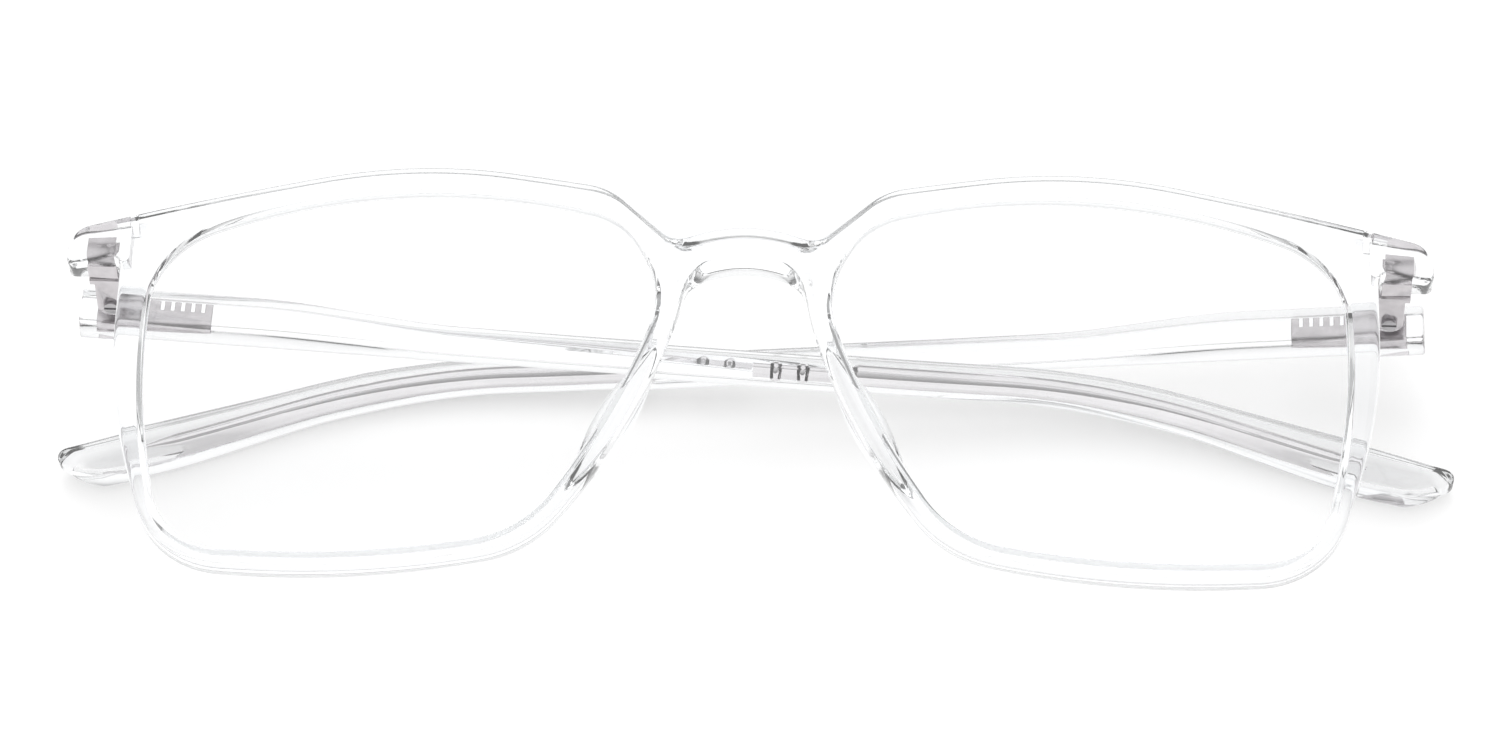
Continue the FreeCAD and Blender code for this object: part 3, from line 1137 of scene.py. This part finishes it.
@dataclass
class Temple:
    """A folded temple: clear arm with a bent-down tip, and the steel wire inside it."""

    shop: Workshop
    bow: Bow
    hinge: HingeSizes
    side: Side
    length: float = 142.0
    butt_clearance: float = 0.06
    bend_start: float = 91.5
    bend_radius: float = 69.5
    bend_angle: float = 18.6
    tip_curl: float = 3.8
    curl_start: float = 80.0
    tip_rounding: float = 2.4
    tip_steps: int = 12
    slant_start: float = 131.0
    slant_most: float = 0.75
    corner_share: tuple[float, float] = (0.24, 0.5)
    corner_steps: int = 6
    boxy_end: tuple[float, float] = (12.0, 50.0)
    butt_edge: float = 0.3
    butt_steps: int = 4
    spacing: float = 1.4
    girths: tuple[Girth, ...] = (
        Girth(15.0, 4.2, 3.4, -0.45), Girth(36.0, 3.1, 2.8, -1.6), Girth(93.0, 3.3, 2.8, -1.7),
        Girth(112.0, 3.7, 3.0, -1.8), Girth(131.0, 5.0, 3.3, -2.2), Girth(142.0, 4.8, 3.2, -2.4))
    wire_start: float = 66.5
    wire_end: float = 132.0
    wire_radius: float = 0.75
    wire_around: int = 20
    crimp_length: float = 10.0
    crimp_radius: float = 0.34
    crimp_step: float = 0.12
    crimp_rings: int = 95
    rear_rings: int = 110
    bead_radius: float = 0.7
    bead_places: tuple[float, float] = (2.4, 5.2)
    point_length: float = 4.0
    point_radius: float = 0.25
    shoulder: float = 1.0

    def girth(self, place: float) -> Girth:
        """Finds the arm's size at a place.

        Args:
            place: distance from the hinge axis.

        Returns:
            The size, eased between the given ones.
        """
        last = self.girths[0]
        if place <= last.place:
            return last
        for girth in self.girths[1:]:
            if place <= girth.place:
                share = smooth_step((place - last.place) / (girth.place - last.place))
                return Girth(place, *(one + (other - one) * share
                                      for one, other in zip(last[1:], girth[1:])))
            last = girth
        return last

    def middle(self, place: float) -> tuple[Vector, float]:
        """Finds a point of the middle line, in the temple's own coordinates.

        Args:
            place: distance from the hinge axis.

        Returns:
            The point, and the angle that the bend has reached there.
        """
        turn = math.radians(self.bend_angle)
        reached = min(max((place - self.bend_start) / self.bend_radius, 0.0), turn)
        rest = max(place - self.bend_start - self.bend_radius * turn, 0.0)
        back = (min(place, self.bend_start) + self.bend_radius * math.sin(reached)
                + rest * math.cos(turn))
        drop = self.bend_radius * (1 - math.cos(reached)) + rest * math.sin(turn)
        curl_span = self.length - self.curl_start
        curl = self.tip_curl * (max(place - self.curl_start, 0.0) / curl_span) ** 2
        girth = self.girth(place)
        outward = self.hinge.barrel_radius + self.hinge.temple_gap + girth.width / 2 - curl
        return Vector((outward, girth.rise * math.cos(reached) - drop,
                       -back - girth.rise * math.sin(reached))), reached

    def ring(self, place: float, section: Sequence[tuple[float, float]],
             slant: float = 0.0) -> Loop:
        """Sets a flat section on the temple.

        Args:
            place: distance from the hinge axis.
            section: the section's points, in across and up.
            slant: how much earlier the lower side ends, as a share of the height.

        Returns:
            The ring, square to the temple unless it is slanted.
        """
        centre, reached = self.middle(place)
        lean = Matrix.Rotation(-reached, 3, "X")
        top = self.girth(place).height / 2
        return [centre + lean @ Vector((across, up, slant * (top - up)))
                for across, up in section]

    def arm_ring(self, place: float, scale: float = 1.0) -> Loop:
        """Draws a ring of the arm, slanted towards the tip's facet.

        Args:
            place: distance from the hinge axis.
            scale: share of the full size.

        Returns:
            The ring.
        """
        span = self.length - self.slant_start
        slant = self.slant_most * smooth_step((place - self.slant_start) / span)
        return self.ring(place, self.section(place, scale), slant)

    def section(self, place: float, scale: float = 1.0,
                shrink: float = 0.0) -> list[tuple[float, float]]:
        """Draws the arm's rounded rectangular cross-section.

        Args:
            place: distance from the hinge axis.
            scale: share of the full size.
            shrink: how far each side is then moved in.

        Returns:
            The points, in across and up.
        """
        girth = self.girth(place)
        high = girth.height * scale / 2 - shrink
        wide = girth.width * scale / 2 - shrink
        slack = smooth_step((place - self.boxy_end[0]) / (self.boxy_end[1] - self.boxy_end[0]))
        share = self.corner_share[0] + (self.corner_share[1] - self.corner_share[0]) * slack
        radius = share * min(high, wide)
        found: list[tuple[float, float]] = []
        for quarter, (sx, sy) in enumerate(((1, 1), (-1, 1), (-1, -1), (1, -1))):
            for step in range(self.corner_steps + 1):
                angle = math.pi / 2 * (quarter + step / self.corner_steps)
                found.append((sx * (wide - radius) + radius * math.cos(angle),
                              sy * (high - radius) + radius * math.sin(angle)))
        return found

    def fill_arm(self, shape: bmesh.types.BMesh) -> None:
        """Adds the arm from its butt, whose edges are rounded, to its slanted tip.

        Args:
            shape: the mesh to fill.
        """
        butt = -(self.hinge.axis_behind_endpiece - self.butt_clearance)
        full_end = self.length - self.tip_rounding
        rings: list[Loop] = []
        for step in range(self.butt_steps):
            turn = math.pi / 2 * step / self.butt_steps
            section = self.section(butt, 1.0, self.butt_edge * (1 - math.sin(turn)))
            rings.append(self.ring(butt + self.butt_edge * (1 - math.cos(turn)), section))
        count = round((full_end - butt) / self.spacing)
        for step in range(count + 1):
            reach = (full_end - butt - self.butt_edge) * step / count
            rings.append(self.arm_ring(butt + self.butt_edge + reach))
        for step in range(1, self.tip_steps):
            share = math.sin(math.pi / 2 * step / self.tip_steps)
            rings.append(self.arm_ring(full_end + self.tip_rounding * share,
                                       math.sqrt(1 - share ** 2)))
        skin(shape, rings)

    def wire_swell(self, along: float) -> float:
        """Finds the wire's radius.

        Args:
            along: distance from its front end.

        Returns:
            The radius, with the crimp, its beads and the point.
        """
        total = self.wire_end - self.wire_start
        shoulder = smooth_step((along - self.crimp_length) / self.shoulder)
        radius = self.crimp_radius + (self.wire_radius - self.crimp_radius) * shoulder
        if along > self.crimp_length + self.shoulder:
            taper = smooth_step((along - total + self.point_length) / self.point_length)
            radius = self.wire_radius + (self.point_radius - self.wire_radius) * taper
        for bead in self.bead_places:
            aside = abs(along - bead)
            if aside < self.bead_radius:
                radius = max(radius, math.sqrt(self.bead_radius ** 2 - aside ** 2))
        return radius

    def fill_wire(self, shape: bmesh.types.BMesh) -> None:
        """Adds the wire, with its crimp, beads and point.

        Args:
            shape: the mesh to fill.
        """
        places = [self.crimp_step * step for step in range(self.crimp_rings)]
        crimp_end = places[-1]
        rest = self.wire_end - self.wire_start - crimp_end
        places += [crimp_end + rest * (step + 1) / self.rear_rings
                   for step in range(self.rear_rings)]
        angles = [math.tau * index / self.wire_around for index in range(self.wire_around)]
        rings: list[Loop] = []
        for along in places:
            radius = self.wire_swell(along)
            circle = [(radius * math.cos(angle), radius * math.sin(angle)) for angle in angles]
            rings.append(self.ring(self.wire_start + along, circle))
        skin(shape, rings)

    def build(self) -> None:
        """Makes and dresses the arm and the wire."""
        place = self.hinge.temple_place(self.side, self.bow)
        word = self.side.word
        body = word + "_temple"
        arm = self.shop.mesh_of(word + "_clear_arm", self.fill_arm, place)
        self.shop.dress(arm, ClearPlastic(), "clear_plastic", body, word + "_temple_arm")
        wire = self.shop.mesh_of(word + "_steel_wire", self.fill_wire, place)
        self.shop.dress(wire, WIRE_STEEL, "core_steel", body, word + "_core_wire")


@dataclass
class HingeMetal:
    """The metal hinge halves and screws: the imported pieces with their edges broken."""

    shop: Workshop
    bow: Bow
    hinge: HingeSizes
    side: Side
    broken_edge: float = 0.06
    edge_steps: int = 2
    edge_angle: float = 50.0
    flat_angle: float = 3.0
    sharp: float = 30.0
    weld: float = 0.0001
    tang_start: float = -1.7
    tang_middle: tuple[float, float] = (3.27, -0.5)
    tang_slimming: tuple[float, float] = (0.4, 0.9)
    tooth_root: float = 0.0
    tooth_reach: float = 0.15
    tooth_extra: float = 0.35

    def broken(self, node: str, name: str) -> bpy.types.Object:
        """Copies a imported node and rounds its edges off.

        Args:
            node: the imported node's name.
            name: the new piece's name.

        Returns:
            The new piece.
        """
        piece = placed(name, frame["nodes"][node].data.copy())
        shape = bmesh.new()
        shape.from_mesh(piece.data)
        bmesh.ops.remove_doubles(shape, verts=shape.verts, dist=self.weld * MM)
        bmesh.ops.dissolve_limit(shape, angle_limit=math.radians(self.flat_angle),
                                 verts=shape.verts, edges=shape.edges)
        shape.to_mesh(piece.data)
        shape.free()
        bevel = piece.modifiers.new("broken edges", "BEVEL")
        bevel.width = self.broken_edge * MM
        bevel.segments = self.edge_steps
        bevel.limit_method = "ANGLE"
        bevel.angle_limit = math.radians(self.edge_angle)
        bevel.use_clamp_overlap = True
        bake(piece)
        smooth_over(piece.data, self.sharp)
        return piece

    def slim_tang(self, piece: bpy.types.Object) -> None:
        """Narrows the tang behind its shoulder and deepens its tooth gaps.

        Args:
            piece: the hinge half in the temple.
        """
        whole = self.shop.to_row @ self.hinge.temple_place(self.side, self.bow)
        back = whole.inverted()
        for vertex in piece.data.vertices:
            spot = back @ vertex.co
            if spot.z >= self.tang_start:
                continue
            if abs(spot.y - self.tooth_root) < self.tooth_reach:
                spot.y -= self.tooth_extra
            for axis, (middle, share) in enumerate(zip(self.tang_middle, self.tang_slimming)):
                spot[axis] = middle + (spot[axis] - middle) * share
            vertex.co = whole @ spot

    def build(self) -> None:
        """Makes and dresses this side's hinge pieces."""
        word = self.side.word
        front = self.broken(word + "_front_hinge", word + "_front_hinge_metal")
        self.shop.dress(front, HINGE_METAL, "hinge_metal", "front", word + "_front_hinge")
        temple = self.broken(word + "_temple_hinge", word + "_temple_hinge_metal")
        self.slim_tang(temple)
        self.shop.dress(temple, HINGE_METAL, "hinge_metal", word + "_temple",
                        word + "_temple_hinge")
        screw = self.broken(word + "_hinge_screw", word + "_hinge_screw_steel")
        self.shop.dress(screw, SCREW_STEEL, "screw_steel", "front", word + "_hinge_screw")


@dataclass(frozen=True)
class Softbox:
    """A soft square lamp that looks at the glasses: place and width in metres, power in watts."""

    name: str
    place: tuple[float, float, float]
    width: float
    power: float

    def hang(self) -> None:
        """Adds the lamp, unseen in clear and shiny pieces."""
        light = bpy.data.lights.new(self.name, "AREA")
        light.size = self.width
        light.energy = self.power
        lamp = placed(self.name, light)
        lamp.visible_glossy = False
        lamp.visible_transmission = False
        lamp.location = self.place
        lamp.rotation_euler = (-Vector(self.place)).to_track_quat("-Z", "Y").to_euler()


@dataclass
class Studio:
    """White table, soft light and the camera at the photograph's angle."""

    shop: Workshop
    view_tilt: float = 30.0
    view_yaw: float = 2.044
    view_roll: float = 1.80
    aim: tuple[float, float] = (0.905, -1.859)
    distance: float = 700.0
    focal_pixels: float = 7025.9
    photo_width: float = 1500.0
    sensor: float = 36.0
    nearest: float = 0.01
    table_size: float = 6.0
    sky_rise: tuple[float, float] = (0.15, 0.75)
    horizon: float = 0.3
    zenith: float = 1.0
    lamps: tuple[Softbox, ...] = (
        Softbox("back softbox", (-0.02, 0.72, 0.95), 0.8, 6.2),
        Softbox("top softbox", (0.15, -0.1, 1.3), 1.0, 4.0))

    def camera(self) -> None:
        """Sets the camera by the angles between it and the front."""
        tilt, yaw, roll = map(math.radians, (self.view_tilt, self.view_yaw, self.view_roll))
        turn = Matrix.Rotation(yaw, 3, "Y")
        toward = turn @ Vector((0.0, -math.sin(tilt), math.cos(tilt)))
        up = turn @ Vector((0.0, math.cos(tilt), math.sin(tilt)))
        right = up.cross(toward)
        right = right * math.cos(roll) + up * math.sin(roll)
        up = toward.cross(right)
        centre = Vector((*self.aim, 0.0)) + toward * self.distance
        to_row = self.shop.to_row
        spin = to_row.to_3x3().normalized() @ Matrix((right, up, toward)).transposed()
        lens = bpy.data.cameras.new("camera")
        lens.sensor_width = self.sensor
        lens.lens = self.focal_pixels / self.photo_width * self.sensor
        lens.clip_start = self.nearest
        camera = placed("camera", lens)
        camera.matrix_world = Matrix.Translation(to_row @ centre) @ spin.to_4x4()
        bpy.context.scene.camera = camera

    def table(self) -> None:
        """Adds the white table."""
        shape = bmesh.new()
        bmesh.ops.create_grid(shape, x_segments=1, y_segments=1, size=self.table_size / 2)
        mesh = bpy.data.meshes.new("table")
        shape.to_mesh(mesh)
        shape.free()
        mesh.materials.append(self.shop.finish_of(TableWhite()))
        placed("table", mesh)

    def sky(self) -> None:
        """Sets surroundings that are white to the camera and dimmer low down to other rays."""
        world = bpy.data.worlds.new("white surroundings")
        world.use_nodes = True
        bpy.context.scene.world = world
        nodes = Nodes(world.node_tree, "World Output")
        room = nodes.tree.nodes["Background"]
        room.inputs["Color"].default_value = WHITE
        parts = nodes.add("ShaderNodeSeparateXYZ")
        nodes.join(nodes.add("ShaderNodeTexCoord").outputs["Generated"], parts.inputs[0])
        rising = nodes.add("ShaderNodeMapRange", interpolation_type="SMOOTHSTEP",
                           From_Min=self.sky_rise[0], From_Max=self.sky_rise[1],
                           To_Min=self.horizon, To_Max=self.zenith)
        nodes.join(parts.outputs["Z"], rising.inputs["Value"])
        nodes.join(rising.outputs["Result"], room.inputs["Strength"])
        seen = nodes.add("ShaderNodeBackground", Strength=1.0, Color=WHITE)
        nodes.blend(nodes.any_ray("Is Camera Ray"), room.outputs[0], seen.outputs[0])

    def build(self) -> None:
        """Makes the whole studio."""
        bpy.context.scene.view_settings.view_transform = "Standard"
        self.camera()
        self.table()
        for lamp in self.lamps:
            lamp.hang()
        self.sky()


def main() -> None:
    """Builds the pieces in order, then the studio."""
    logging.basicConfig(level=logging.INFO, format="%(name)s %(message)s")
    bow, hinge, seat = Bow(), HingeSizes(), LensSeat()
    shop = Workshop(Rest().to_row(hinge, bow))
    FrontShell(shop, bow, hinge, seat).build()
    for side in Side:
        Lens(shop, bow, seat, side).build()
        HingeMetal(shop, bow, hinge, side).build()
        Temple(shop, bow, hinge, side).build()
    Studio(shop).build()


if __name__ == "__main__":
    main()
